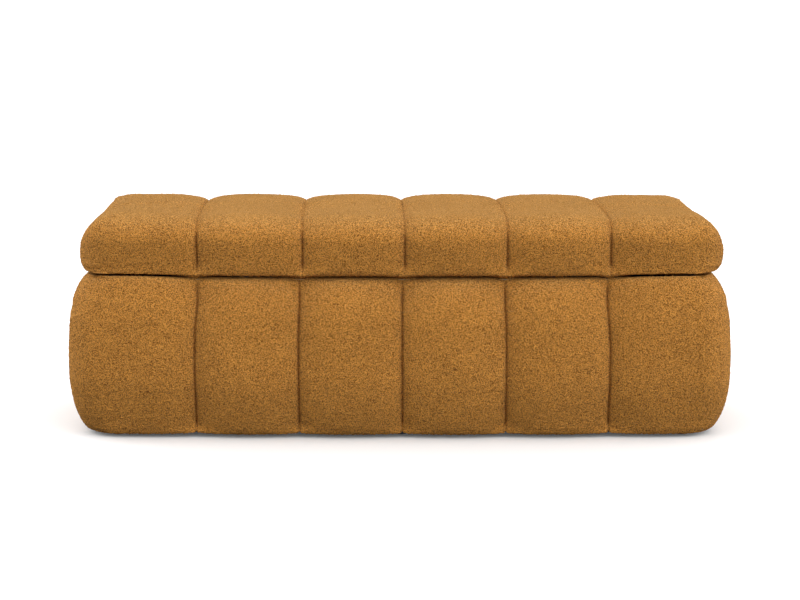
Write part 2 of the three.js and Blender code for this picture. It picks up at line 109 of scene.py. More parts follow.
class Plan:
    """The grid lines of a skin in plan, and the ring that they make round its edge."""

    def __init__(self, low, high, step, seams=BASE_SEAMS):
        self.low = np.array(low[:2], float)
        self.high = np.array(high[:2], float)
        self.seams = seams
        self.xs = stops_along(self.low[0], self.high[0], seams, step)
        self.ys = stops_along(self.low[1], self.high[1], [END_SEAM], step)
        nx, ny = len(self.xs), len(self.ys)
        front = [(i, 0) for i in range(nx - 1)]
        right = [(nx - 1, j) for j in range(ny - 1)]
        back = [(i, ny - 1) for i in range(nx - 1, 0, -1)]
        left = [(0, j) for j in range(ny - 1, 0, -1)]
        self.ring = np.array(front + right + back + left)

    def nominal(self, cells):
        """Plan position of grid cells on the belly's rectangle."""
        return self.xs[cells[:, 0]], self.ys[cells[:, 1]]

    def place(self, x, y, front, side, back, radius, spread=0.0):
        """Moves belly positions to a level that stands in by front, side and back, with rounded corners.

        A spread moves the seams apart by that share.
        """
        reach = self.high[0] - side
        past_seams = self.seams[-1] + 30 * MM
        x = self._stretch(x, past_seams, self.high[0], reach, 1 + spread)
        y0 = self.low[1] + front
        y1 = self.high[1] - back
        y = np.where(
            y < END_SEAM,
            END_SEAM + (y - END_SEAM) * (END_SEAM - y0) / (END_SEAM - self.low[1]),
            END_SEAM + (y - END_SEAM) * (y1 - END_SEAM) / (self.high[1] - END_SEAM),
        )
        p = np.clip((np.abs(x) - (reach - radius)) / radius, 0, 1)
        q_front = np.clip((y0 + radius - y) / radius, 0, 1)
        q_back = np.clip((y - y1 + radius) / radius, 0, 1)
        q = np.maximum(q_front, q_back)
        rounded = (p > 0) & (q > 0)
        round_x = np.sign(x) * (reach - radius + radius * p * np.sqrt(1 - q * q / 2))
        round_q = radius * q * np.sqrt(1 - p * p / 2)
        round_y = np.where(q_front > 0, y0 + radius - round_q, y1 - radius + round_q)
        return np.where(rounded, round_x, x), np.where(rounded, round_y, y)

    @staticmethod
    def _stretch(x, inner, old_reach, new_reach, scale):
        """Scales |x| up to inner, and stretches the rest so that old_reach lands on new_reach."""
        size = np.abs(x)
        moved = inner * scale
        far = moved + (size - inner) * (new_reach - moved) / (old_reach - inner)
        return np.sign(x) * np.where(size > inner, far, size * scale)


class Skin:
    """Vertices and faces of one skin, with what shapes each vertex: its plan position and its shares."""

    SHARES = ("groove", "crease", "pile", "bow", "droop")

    def __init__(self, plan):
        self.plan = plan
        self.points = []
        self.plan_x = []
        self.plan_y = []
        self.faces = []
        self.fan = np.empty((0, 3), int)
        self.shares = {name: [] for name in self.SHARES}
        self.count = 0

    def _add(self, x, y, z, plan_x, plan_y, shares):
        """Adds vertices, and gives the number of the first."""
        first = self.count
        self.points.append(np.stack([x, y, np.broadcast_to(z, x.shape)], 1))
        self.plan_x.append(plan_x)
        self.plan_y.append(plan_y)
        for name in self.SHARES:
            self.shares[name].append(np.broadcast_to(shares.get(name, 0.0), x.shape))
        self.count += len(x)
        return first

    def add_ring(self, front, side, back, radius, z, spread=0.0, **shares):
        """Adds the plan's edge at a height, and gives its first vertex."""
        px, py = self.plan.nominal(self.plan.ring)
        x, y = self.plan.place(px, py, front, side, back, radius, spread)
        return self._add(x, y, z, px, py, shares)

    def join_rings(self, lower, upper):
        """Faces between two rings, given by their first vertices; they face out when lower is below."""
        n = len(self.plan.ring)
        i = np.arange(n)
        j = (i + 1) % n
        self.faces.append(np.stack([lower + i, lower + j, upper + j, upper + i], 1))

    def add_top(self, ring_first, place_top, **shares):
        """Fills a ring with a grid that shares the ring's vertices; place_top gives the inner positions."""
        nx, ny = len(self.plan.xs), len(self.plan.ys)
        index = np.full((nx, ny), -1)
        index[self.plan.ring[:, 0], self.plan.ring[:, 1]] = ring_first + np.arange(len(self.plan.ring))
        inner = np.argwhere(index < 0)
        px, py = self.plan.nominal(inner)
        x, y, z = place_top(px, py)
        first = self._add(x, y, z, px, py, shares)
        index[inner[:, 0], inner[:, 1]] = first + np.arange(len(inner))
        quads = np.stack([index[:-1, :-1], index[1:, :-1], index[1:, 1:], index[:-1, 1:]], -1)
        self.faces.append(quads.reshape(-1, 4))

    def fan_down(self, ring_first, z):
        """Closes a ring with a flat fan that faces down."""
        centre = self._add(np.zeros(1), np.zeros(1), z, np.zeros(1), np.zeros(1), {})
        n = len(self.plan.ring)
        i = np.arange(n)
        j = (i + 1) % n
        self.fan = np.stack([ring_first + j, ring_first + i, np.full(n, centre)], 1)

    def share(self, name):
        """One of the shares, for every vertex."""
        return np.concatenate(self.shares[name])

    def make_object(self, name):
        """A smooth Blender object of everything that was added."""
        quads = np.concatenate(self.faces)
        points = np.concatenate(self.points)
        mesh = bpy.data.meshes.new(name)
        mesh.vertices.add(len(points))
        mesh.vertices.foreach_set("co", points.astype(np.float32).ravel())
        corners = np.concatenate([quads.ravel(), self.fan.ravel()]).astype(np.int32)
        starts = np.concatenate([
            np.arange(len(quads)) * 4,
            len(quads) * 4 + np.arange(len(self.fan)) * 3,
        ]).astype(np.int32)
        mesh.loops.add(len(corners))
        mesh.loops.foreach_set("vertex_index", corners)
        mesh.polygons.add(len(starts))
        mesh.polygons.foreach_set("loop_start", starts)
        mesh.update(calc_edges=True)
        mesh.shade_smooth()
        piece = bpy.data.objects.new(name, mesh)
        bpy.context.scene.collection.objects.link(piece)
        return piece


# ---- reading and writing a mesh ----

def read(mesh, what):
    """One row of three numbers for each vertex: its co or its normal."""
    values = np.empty(len(mesh.vertices) * 3, np.float32)
    mesh.vertices.foreach_get(what, values)
    return values.reshape(-1, 3).astype(float)


def write(mesh, points):
    mesh.vertices.foreach_set("co", points.astype(np.float32).ravel())
    mesh.update()


def field(points, size, seed):
    """A noise value at each point, for features of that size."""
    shift = Vector((seed * 13.7, seed * 7.3, seed * 3.1))
    return np.array([noise.noise(Vector(p) / size + shift) for p in points.tolist()])


# ---- how fabric lies over channels ----

SHOULDER_REACH = 14 * MM
CREASE_REACH = 2.2 * MM
GATHER_DEPTH = 0.9 * MM
GATHER_PITCH = 17 * MM
GATHER_REACH = 18 * MM
DROOP = 6 * MM
DROOP_REACH = 20 * MM
SHALLOWER = (0.10, 0.20)  # from where to where, towards the back, the channels lose depth
HELD = (0.18, 0.08)  # from where to where, towards the front, the edge at the gap comes free
LIFTED = (0.30, 0.64)  # from where to where, along X, the edge at the gap is lifted


def hollow(distance, broad, shoulder):
    """Depth below the crown: a broad hollow between channels and a rounded shoulder beside the seam."""
    away = np.clip(distance / (CHANNEL / 2), 0, 1)
    return broad * (1 - away) ** 2 + shoulder * np.exp(-distance / SHOULDER_REACH)


def line(distance):
    """Share of the sewn crease at a distance from its seam."""
    return np.exp(-(distance / CREASE_REACH) ** 2)


def puckers(distance, along, seed):
    """Short creases that run out from a seam, where the stitches gather the fabric."""
    wave = field(np.stack([along * 0, along * 0, along], 1), GATHER_PITCH, seed)
    return GATHER_DEPTH * wave * np.exp(-distance / GATHER_REACH)


def press_channels(piece, skin, broad, shoulder, crease, lift, back_share, end_fade, seed):
    """Presses the seams into a smooth skin, and lets the edge at the gap sink beside them.

    broad, shoulder and crease are depths, of which the back has only back_share. lift raises the edge at
    the gap towards the ends. end_fade says for each place along X how much the ends' own seam counts.
    """
    points = np.concatenate(skin.points)
    plan_x = np.concatenate(skin.plan_x)
    plan_y = np.concatenate(skin.plan_y)
    groove = skin.share("groove")
    creased = skin.share("crease")
    normals = read(piece.data, "normal")
    wobble = 0.8 * MM * field(points * [0.2, 0.2, 1], 60 * MM, seed)
    to_seam = np.min([np.abs(plan_x + wobble - seam) for seam in skin.plan.seams], axis=0)
    to_end_seam = np.abs(plan_y + wobble - END_SEAM)
    end_share = end_fade(plan_x)
    stitches = 1 + 0.5 * field(points, 4 * MM, seed + 4)
    sewn = crease * creased * stitches

    def valley(distance):
        return groove * hollow(distance, broad, shoulder) + sewn * line(distance)

    shallow = 1 - (1 - back_share) * smooth(*SHALLOWER, plan_y) * creased
    depth = shallow * np.maximum(valley(to_seam), end_share * valley(to_end_seam))
    swell = 1.6 * MM * field(points, 120 * MM, seed + 1) + 0.7 * MM * field(points, 45 * MM, seed + 2)
    nearest = np.minimum(to_seam, np.where(end_share > 0.5, to_end_seam, 1))
    gather = puckers(nearest, points[:, 2] + points[:, 1], seed + 3)
    move = groove * (swell + gather) - depth
    points = points + normals * move[:, None]
    free = skin.share("droop") * smooth(*HELD, plan_y)
    at_seam = np.exp(-to_seam / DROOP_REACH) + end_share * np.exp(-to_end_seam / DROOP_REACH)
    points[:, 2] -= DROOP * free * at_seam
    points[:, 2] += lift * free * smooth(*LIFTED, np.abs(plan_x))
    write(piece.data, points)


def bow_front(skin, amount):
    """Lets the front stand forward in the middle: its ends draw back by the amount."""
    for part, px, py, share in zip(skin.points, skin.plan_x, skin.plan_y, skin.shares["bow"]):
        in_front = smooth(0.05, -0.2, py)
        towards_end = np.clip(np.abs(px) / 0.62, 0, 1) ** 2.2
        part[:, 1] += amount * share * in_front * towards_end


def add_pile(piece, skin, height, seed):
    """The boucle's loops: small rounded knots with pits between them."""
    points = read(piece.data, "co")
    normals = read(piece.data, "normal")
    knots = field(points, 4.2 * MM, seed)
    curls = field(points, 2.3 * MM, seed + 1)
    move = skin.share("pile") * height * (0.4 * knots + 0.9 * curls)
    write(piece.data, points + normals * move[:, None])


# ---- what both pads share ----

CORNER_RADIUS = 72 * MM
CREASE = 5 * MM
PILE_HEIGHT = 1.9 * MM
FABRIC_GAP = 0.4 * MM  # between the fabric and a board


def between(start, end, share):
    """Insets that lie part of the way from one ring's to another's."""
    return [a + (b - a) * share for a, b in zip(start, end)]


# ---- padded base ----

RIM_ARC = 50 * MM
LOWER_ARC = 39 * MM
UNDER_TURN = 80 * MM  # how far the fabric is turned in under the boards
BASE_BELLY = BASE_LOW.z + 155.8 * MM
BASE_ARC_TOP = BASE_BELLY + 69 * MM
BASE_ARC_LOW = BASE_BELLY - 28 * MM
BASE_BOW = 20 * MM
BACK_EDGE = 12 * MM
SEAM_SPREAD = 0.015  # how much further apart the seams stand below the rim
FRONT_TUCK = 8 * MM  # how far the front draws in at its foot
TUCKED = (0.150, 0.030)  # from which height down to which it does so
EDGE_SAG = 2.5 * MM  # how far the lower edge hangs below the boards


def base_inset(z):
    """How far the outside stands in at a height: it leans in above and below a soft belly."""
    away = z - BASE_BELLY
    rate = 0.06 if away > 0 else 0.022
    return rate * (math.hypot(away, 25 * MM) - 25 * MM)


def base_back_inset(inset, z):
    """The back is nearly upright, with small rounded edges."""
    near = max(0.0, z - (BASE_HIGH.z - BACK_EDGE), BASE_LOW.z + BACK_EDGE - z)
    rounding = BACK_EDGE - math.sqrt(max(0.0, BACK_EDGE ** 2 - near ** 2))
    return 0.16 * inset + 0.8 * rounding


def rim_stations():
    """Out of the well and over the flat rim, as far as its rounded edge."""
    rim = BASE_HIGH.z
    well_inset = BASE_HIGH.x - (FRAME_SIDE - BOARD) - 0.3 * MM
    well_back = BASE_HIGH.y - (FRAME_BACK - BOARD) - 0.3 * MM
    stations = []
    for up, inward in ((-3.4, 0), (-1.6, 0), (-0.5, 0.5), (0, 2)):
        stations.append((well_inset - inward * MM, well_back - inward * MM, rim + up * MM, 0, 0, 0.3))
    edge_inset = base_inset(rim) + RIM_ARC
    inner = stations[-1][:2]
    outer = (edge_inset, base_back_inset(edge_inset, rim))
    for t in np.linspace(0, 1, 9)[1:-1]:
        stations.append((*between(inner, outer, t), rim, 0.15 * t * t, t ** 3, 0.6))
    return stations


def outside_stations():
    """Over the rim's rounded edge, down the outside and round the lower edge."""
    stations = []
    span = BASE_HIGH.z - BASE_ARC_TOP
    for angle in np.linspace(math.pi / 2, 0, round(125 * MM / STEP)):
        z = BASE_ARC_TOP + span * math.sin(angle)
        inset = base_inset(z) + RIM_ARC * (1 - math.cos(angle))
        groove = 0.3 + 0.7 * float(smooth(math.pi / 2, 1.05, angle))
        stations.append((inset, base_back_inset(inset, z), z, groove, 1, 1))
    for z in spaced(BASE_ARC_TOP, BASE_ARC_LOW, STEP)[1:]:
        inset = base_inset(z)
        stations.append((inset, base_back_inset(inset, z), z, 1, 1, 1))
    span = BASE_ARC_LOW - BASE_LOW.z + EDGE_SAG
    for angle in np.linspace(0, math.pi / 2, round(168 * MM / STEP)):
        z = BASE_ARC_LOW - span * math.sin(angle)
        inset = 0.4 * base_inset(z) + LOWER_ARC * (1 - math.cos(angle))
        groove = 1 - 0.85 * float(smooth(1.0, math.pi / 2, angle))
        stations.append((inset, base_back_inset(inset, z), z, groove, 1, 1))
    return stations


def under_stations(outer):
    """In under the boards from the outer insets, then out against them and up to the frame's top."""
    to_frame = (BASE_HIGH.x - FRAME_SIDE, BASE_HIGH.y - FRAME_BACK)
    inner = [inset + UNDER_TURN for inset in to_frame]
    beside = [inset - FABRIC_GAP for inset in to_frame]
    stations = []
    for t in np.linspace(0, 1, 9)[1:]:
        sag = EDGE_SAG * max(0.0, 1 - 6 * t)
        stations.append((*between(outer, inner, t), BASE_LOW.z - sag, 0.1 * (1 - t), 1 - t, 0.5))
    stations.append((*inner, FRAME_BOTTOM - FABRIC_GAP, 0, 0, 0))
    stations.append((*beside, FRAME_BOTTOM - FABRIC_GAP, 0, 0, 0))
    stations.append((*beside, FRAME_TOP + 0.3 * MM, 0, 0, 0))
    return stations


def base_stations():
    """The base's section, from the well's edge round to the frame's top.

    Each station is (front and side inset, back inset, height, groove, crease and pile share).
    """
    outside = outside_stations()
    return [*rim_stations(), *outside, *under_stations(outside[-1][:2])]


def all_round(plan_x):
    """The base's end seams count in full."""
    return np.ones_like(plan_x)


def make_base_upholstery():
    """The base's cover and its foam, as one closed skin."""
    skin = Skin(Plan(BASE_LOW, BASE_HIGH, STEP))
    rings = []
    frame_inset = BASE_HIGH.x - FRAME_SIDE
    for inset, back, z, groove, crease, pile in base_stations():
        margin = frame_inset - inset
        radius = min(CORNER_RADIUS, max(3.3 * margin, 3 * MM))
        bow = min(1.0, max(0.0, margin / (45 * MM)))
        on_rim = z > BASE_HIGH.z - 60 * MM
        droop = float(smooth(0, 45 * MM, frame_inset + BOARD - inset)) if on_rim else 0
        below_rim = float(smooth(BASE_HIGH.z - 20 * MM, BASE_HIGH.z - 160 * MM, z))
        spread = SEAM_SPREAD * below_rim if groove else 0
        tuck = FRONT_TUCK * float(smooth(*TUCKED, z)) * min(1.0, groove / 0.15)
        rings.append(skin.add_ring(
            inset + tuck, inset, back, radius, z, spread,
            groove=groove, crease=crease, pile=pile, bow=bow, droop=droop,
        ))
    for upper, lower in zip(rings, rings[1:] + rings[:1]):
        skin.join_rings(lower, upper)
    bow_front(skin, BASE_BOW)
    piece = skin.make_object("base_upholstery")
    press_channels(piece, skin, broad=13 * MM, shoulder=8 * MM, crease=CREASE, lift=9 * MM,
                   back_share=0.42, end_fade=all_round, seed=5)
    add_pile(piece, skin, PILE_HEIGHT, 21)
    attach(piece, "base")
    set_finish(piece, "boucle")
    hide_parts("base_cover", "front_foam", "back_foam", "left_foam", "right_foam")
    return piece


# ---- padded lid ----

LID_BELLY = LID_LOW.z + 30 * MM
LID_FRONT_BELLY = LID_LOW.z + 70 * MM
LID_CROWN = 4 * MM
LID_EDGE = LID_HIGH.z + LID_CROWN
LID_FRONT_ARC = 78 * MM
LID_SIDE_ARC = 85 * MM
LID_BACK_ARC = 60 * MM
LID_SIDE_LIP = 19 * MM
LID_FRONT_LIP = 12 * MM
LID_UNDER_TURN = 60 * MM
LID_BOW = 24 * MM
LID_SPARE = 2 * MM  # how far the fabric stands outside the frame's lid at each end
LID_SKEW = 8.5 * MM
LID_BOARD_CORNER = 35.4 * MM
CORNER_PULL = 9 * MM
CORNER_REACH = 13 * MM


def lid_front_inset(z):
    """The lid's front leans out up to its belly, and turns over the top from there."""
    if z < LID_FRONT_BELLY:
        return 10 * MM * ((LID_FRONT_BELLY - z) / (LID_FRONT_BELLY - LID_LOW.z)) ** 1.4
    rise = min(1.0, (z - LID_FRONT_BELLY) / (LID_EDGE - LID_FRONT_BELLY))
    return LID_FRONT_ARC * (1 - math.sqrt(1 - rise * rise))


def lid_board_stations():
    """Round the board's edge from above, and out again below it as far as the lip."""
    side = LID_HIGH.x + LID_SPARE - LID_BOARD_HIGH.x - FABRIC_GAP
    front = LID_BOARD_LOW.y - LID_LOW.y - FABRIC_GAP
    back = LID_HIGH.y - LID_BOARD_HIGH.y - FABRIC_GAP
    over = LID_BOARD_HIGH.z + FABRIC_GAP
    under = LID_BOARD_LOW.z - FABRIC_GAP
    inner = (front + LID_UNDER_TURN, side + LID_UNDER_TURN, back + LID_UNDER_TURN)
    lip = (LID_FRONT_LIP + lid_front_inset(LID_LOW.z), LID_SIDE_LIP, 0.5 * LID_SIDE_LIP)
    stations = [
        (front, side, back, over, 0, 0, 0, 0),
        (front, side, back, under, 0, 0, 0, 0),
        (*inner, under, 0, 0, 0, 0),
        (*inner, LID_LOW.z, 0, 0, 0, 0),
    ]
    for t in np.linspace(0, 1, 30)[1:-1]:
        pile = 0.9 - 0.8 * float(smooth(0.75, 0.5, t))
        droop = float(smooth(0.55, 1, t))
        stations.append((*between(inner, lip, t), LID_LOW.z, 0, 0, pile, droop))
    return stations


def lid_lip_stations():
    """Round the soft lip, from below the lid up to its belly."""
    stations = []
    for angle in np.linspace(math.pi / 2, 0, round(44 * MM / STEP)):
        z = LID_BELLY - (LID_BELLY - LID_LOW.z) * math.sin(angle)
        turn = 1 - math.cos(angle)
        front = lid_front_inset(z) + LID_FRONT_LIP * turn ** 1.6
        side = LID_SIDE_LIP * turn
        groove = 0.25 + 0.75 * float(smooth(1.2, 0.0, angle))
        crease = float(smooth(0.9, 0.2, angle))
        stations.append((front, side, 0.5 * side, z, groove, crease, 1, 1))
    return stations


def lid_side_stations():
    """From the belly up the sides, and over to the top's edge."""
    arc_foot = LID_BELLY + 5 * MM
    stations = [
        (lid_front_inset(z), 0, 0, z, 1, 1, 1, 1)
        for z in spaced(LID_BELLY, arc_foot, STEP)[1:]
    ]
    for angle in np.linspace(0, math.pi / 2, round(125 * MM / STEP)):
        z = arc_foot + (LID_EDGE - arc_foot) * math.sin(angle)
        turn = 1 - math.cos(angle)
        insets = (lid_front_inset(z), LID_SIDE_ARC * turn, LID_BACK_ARC * turn)
        groove = 1 - 0.25 * float(smooth(0.9, 1.5, angle))
        crease = 1 - 0.9 * float(smooth(0.6, 0.95, angle))
        droop = 1 - float(smooth(0, 0.5, angle))
        stations.append((*insets, z, groove, crease, 1, droop))
    return stations


def lid_stations():
    """The lid's section, from the board's upper edge round the lip and up to the top's edge.

    Each station is (front, side and back inset, height, groove, crease, pile and droop share).
    """
    return [*lid_board_stations(), *lid_lip_stations(), *lid_side_stations()]


def lid_bow_and_radius(front, side, z, pile):
    """How far a ring follows the front's bow, and its corner radius; both fit round the lid's board."""
    radius = max(CORNER_RADIUS - 1.35 * side, 10 * MM) if pile else LID_BOARD_CORNER
    clear_of_board = LID_LOW.z + 60 * MM
    if z >= clear_of_board:
        return 1, radius
    margin = LID_BOARD_LOW.y - LID_LOW.y - front
    bow = min(1.0, max(0.0, (margin - 9 * MM) / LID_BOW))
    freed = 45 * MM * float(smooth(LID_LOW.z + 15 * MM, clear_of_board, z))
    snug = LID_BOARD_CORNER + max(3.0 * (margin - bow * LID_BOW), 0.0)
    return bow, min(radius, snug + freed)


def skew_lid(skin):
    """The cover sits a little askew on its board, and a little lower at the right."""
    for part, share in zip(skin.points, skin.shares["bow"]):
        turn = np.clip(part[:, 1] / -0.2, -1, 1)
        part[:, 0] += 0.5 * LID_SKEW * share * turn
        at_right = smooth(0.40, 0.62, part[:, 0])
        above_board = smooth(LID_BOARD_HIGH.z, LID_HIGH.z, part[:, 2])
        part[:, 2] -= 3 * MM * at_right * above_board


def pull_corners(piece):
    """Small points of fabric where the front, the end and the top are sewn together."""
    points = read(piece.data, "co")
    for side in (-1, 1):
        for y, outward in ((LID_LOW.y + 37 * MM, -1), (LID_HIGH.y - 29 * MM, 1)):
            corner = np.array([side * (LID_HIGH.x - 35 * MM), y, LID_HIGH.z - 10 * MM])
            reach = np.linalg.norm(points - corner, axis=1)
            pull = CORNER_PULL * np.exp(-(reach / CORNER_REACH) ** 2)
            points += pull[:, None] * np.array([side * 0.75, outward * 0.55, 0.35])
    write(piece.data, points)


def near_end(plan_x):
    """The lid's end seams fade out before they reach its middle."""
    return smooth(0.5, 0.62, np.abs(plan_x))


def make_lid_upholstery():
    """The lid's cover and its foam, as one closed skin."""
    spare = Vector((LID_SPARE, 0, 0))
    plan = Plan(LID_LOW - spare, LID_HIGH + spare, STEP, LID_SEAMS)
    skin = Skin(plan)
    rings = []
    for front, side, back, z, groove, crease, pile, droop in lid_stations():
        bow, radius = lid_bow_and_radius(front, side, z, pile)
        rings.append(skin.add_ring(
            front, side, back, radius, z,
            groove=groove, crease=crease, pile=pile, bow=bow, droop=droop,
        ))
    for lower, upper in zip(rings, rings[1:]):
        skin.join_rings(lower, upper)

    def place_top(px, py):
        x, y = plan.place(px, py, LID_FRONT_ARC, LID_SIDE_ARC, LID_BACK_ARC, 12 * MM)
        inside = np.min([
            plan.high[0] - LID_SIDE_ARC - np.abs(x),
            y - plan.low[1] - LID_FRONT_ARC,
            plan.high[1] - LID_BACK_ARC - y,
        ], axis=0)
        return x, y, LID_EDGE + 6 * MM * (1 - np.exp(-inside / (80 * MM)))

    skin.add_top(rings[-1], place_top, groove=0.75, crease=0.1, pile=1, bow=1)
    skin.fan_down(rings[0], LID_BOARD_HIGH.z + FABRIC_GAP)
    bow_front(skin, LID_BOW)
    skew_lid(skin)
    piece = skin.make_object("lid_upholstery")
    press_channels(piece, skin, broad=9 * MM, shoulder=10 * MM, crease=CREASE, lift=5 * MM,
                   back_share=0.5, end_fade=near_end, seed=9)
    pull_corners(piece)
    add_pile(piece, skin, PILE_HEIGHT, 31)
    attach(piece, "lid")
    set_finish(piece, "boucle")
    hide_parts("lid_cover", "lid_foam")
    return piece


# ---- linings ----

SHEET_CELL = 8 * MM
SHEET_HEM = 8 * MM
SHEET_WAVE = 0.5 * MM


def thicken(piece, thickness, offset):
    """Gives a sheet its thickness; offset says to which side, or 0 for both."""
    modifier = piece.modifiers.new("thickness", "SOLIDIFY")
    modifier.thickness = thickness
    modifier.offset = offset


def make_well_lining():
    """The fabric bag in the well: four walls and a floor from one piece, with a rolled hem at its top.

    It creases a little, but is smooth beside its hem and towards the back.
    """
    low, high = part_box("base_lining")
    wall = 1.2 * MM
    low, high = low + Vector((wall, wall, wall)), high - Vector((wall, wall, 0))
    plan = Plan(low, high, SHEET_CELL)
    skin = Skin(plan)
    top = high.z + 0.8 * MM
    hem = ((0, 0.0), (1.2, 0.9), (3.2, 1.2), (5.4, 0.9), (7.0, 0.2))
    heights = [(top - down * MM, inward * MM) for down, inward in hem]
    heights += [(z, 0.0) for z in np.linspace(top - 12 * MM, low.z + 6 * MM, 34)]
    heights += [(low.z + 2 * MM, 0.7 * MM), (low.z, 3 * MM)]
    rings = [skin.add_ring(inward, inward, inward, 5 * MM, z, pile=1) for z, inward in heights]
    for upper, lower in zip(rings, rings[1:]):
        skin.join_rings(upper, lower)

    def place_floor(px, py):
        x, y = plan.place(px, py, 3 * MM, 3 * MM, 3 * MM, 5 * MM)
        return x, y, low.z

    skin.add_top(rings[-1], place_floor, pile=1)
    piece = skin.make_object("well_lining")
    points = read(piece.data, "co")
    normals = read(piece.data, "normal")
    creases = 0.5 + field(points * [1, 1, 0.35], 55 * MM, 41) + 0.4 * field(points, 18 * MM, 42)
    loose = smooth(0.14, 0.11, points[:, 1]) * smooth(top - 8 * MM, top - 30 * MM, points[:, 2])
    write(piece.data, points + normals * (1.6 * MM * np.clip(creases, 0, 2) * loose)[:, None])
    thicken(piece, -0.9 * MM, 1)
    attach(piece, "base")
    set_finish(piece, "lining")
    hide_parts("base_lining")
    return piece


def make_flat_cover(name, replaced, body, slot, seed):
    """A flat lining with turned-in edges, a little wavy between its staples."""
    low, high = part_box(replaced)
    plan = Plan(low, high, SHEET_CELL)
    skin = Skin(plan)
    middle = (low.z + high.z) / 2
    rings = [skin.add_ring(inset, inset, inset, 9 * MM, middle)
             for inset in (0, 0.8 * MM, 2.5 * MM, SHEET_HEM - 1 * MM, SHEET_HEM)]
    for outer, inner in zip(rings, rings[1:]):
        skin.join_rings(outer, inner)

    def place_middle(px, py):
        x, y = plan.place(px, py, SHEET_HEM, SHEET_HEM, SHEET_HEM, 9 * MM)
        return x, y, middle

    skin.add_top(rings[-1], place_middle)
    piece = skin.make_object(name)
    points = read(piece.data, "co")
    waves = field(points, 70 * MM, seed) + 0.5 * field(points, 24 * MM, seed + 1)
    edge = np.min([points[:, 0] - low.x, high.x - points[:, 0],
                   points[:, 1] - low.y, high.y - points[:, 1]], axis=0)
    points[:, 2] += SHEET_WAVE * waves * smooth(0, 40 * MM, edge)
    points[:, 2] -= 0.25 * MM * np.exp(-(((edge - SHEET_HEM) / (1.2 * MM)) ** 2))
    write(piece.data, points)
    thicken(piece, 0.5 * MM, 0)
    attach(piece, body)
    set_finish(piece, slot)
    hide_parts(replaced)
    return piece


# ---- screws and staples ----

BASE_LEAF_TOP = LID_LOW.z - 2.7 * MM
LID_LEAF_UNDERSIDE = LID_LOW.z - 2.1 * MM
SIDES = (("left", -1), ("right", 1))
HEAD_SIDES = 24
HEAD_PROFILE = ((1.0, 0.0), (1.0, 0.35), (0.86, 0.75), (0.6, 0.97))
CROSS_ARM = 0.16
CROSS_REACH = 0.55
LEAF_SCREW = (3.6 * MM, 0.22 * MM)  # each screw is the head's radius and height
BASE_BRACKET_SCREW = (3.4 * MM, 1.5 * MM)
LID_BRACKET_SCREW = (3.4 * MM, 1.4 * MM)
LEAF_HOLES = ((-25 * MM, 10.5 * MM), (0, 13.5 * MM), (25 * MM, 10.5 * MM))
BRACKET_HOLE = 7 * MM
LID_BRACKET_HOLE = 8 * MM
BRACKET_PLATE = 2 * MM
STAPLE_PATH = ((-0.5, 1.3), (-0.5, 0.25), (-0.42, 0.0), (0.42, 0.0), (0.5, 0.25), (0.5, 1.3))
STAPLE_SIDES = 8
STAPLE_LENGTH = 10 * MM
STAPLE_RISE = 1.2 * MM
STAPLE_RADIUS = 0.32 * MM
STAPLE_PITCH = 52 * MM
STAPLE_INSET = 11 * MM


def join_loops(bm, lower, upper):
    """A band of faces between two closed loops of as many vertices."""
    count = len(lower)
    for k in range(count):
        other = (k + 1) % count
        bm.faces.new((lower[k], lower[other], upper[other], upper[k]))


def cross_outline():
    """The twelve corners of a cross, as shares of a screw head's radius."""
    corners = []
    for quarter in range(4):
        cos, sin = math.cos(quarter * math.pi / 2), math.sin(quarter * math.pi / 2)
        for x, y in ((CROSS_REACH, -CROSS_ARM), (CROSS_REACH, CROSS_ARM), (CROSS_ARM, CROSS_ARM)):
            corners.append((x * cos - y * sin, x * sin + y * cos))
    return corners


def screw(bm, place, facing, size):
    """A pan head with a cross recess; facing is the way that the head looks."""
    radius, height = size
    turn = Vector(facing).to_track_quat("Z", "Y").to_matrix().to_4x4()
    to_place = Matrix.Translation(place) @ turn

    def loop(outline, share, rise):
        return [
            bm.verts.new(to_place @ Vector((share * radius * x, share * radius * y, rise * height)))
            for x, y in outline
        ]

    steps = [2 * math.pi * k / HEAD_SIDES for k in range(HEAD_SIDES)]
    circle = [(math.cos(step), math.sin(step)) for step in steps]
    levels = [loop(circle, share, rise) for share, rise in HEAD_PROFILE]
    for lower, upper in zip(levels, levels[1:]):
        join_loops(bm, lower, upper)
    bm.faces.new(list(reversed(levels[0])))
    rim = loop(cross_outline(), 1.0, 1.0)
    floor = loop(cross_outline(), 0.7, 0.35)
    join_loops(bm, rim, floor)
    bm.faces.new(floor)
    for k, start in enumerate(levels[-1]):
        end = levels[-1][(k + 1) % HEAD_SIDES]
        near = rim[(k // 2 + 1) % len(rim)]
        far = rim[((k + 1) // 2 + 1) % len(rim)]
        bm.faces.new((start, end, near) if near is far else (start, end, far, near))


def finish_mesh(name, bm, body, slot):
    """Turns small hardware into a piece that rides on a body."""
    mesh = bpy.data.meshes.new(name)
    bmesh.ops.recalc_face_normals(bm, faces=bm.faces)
    bm.to_mesh(mesh)
    bm.free()
    piece = bpy.data.objects.new(name, mesh)
    bpy.context.scene.collection.objects.link(piece)
    mesh.shade_smooth()
    mesh.set_sharp_from_angle(angle=math.radians(35))
    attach(piece, body)
    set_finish(piece, slot)
    return piece


def hinge_screws(bm, leaf, z, facing):
    """Three nearly flush heads on each leaf, in a shallow V."""
    for place in ("left", "middle", "right"):
        low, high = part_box(leaf + place)
        for along, inward in LEAF_HOLES:
            spot = Vector(((low.x + high.x) / 2 + along, low.y + inward, z))
            screw(bm, spot, (0, 0, facing), LEAF_SCREW)


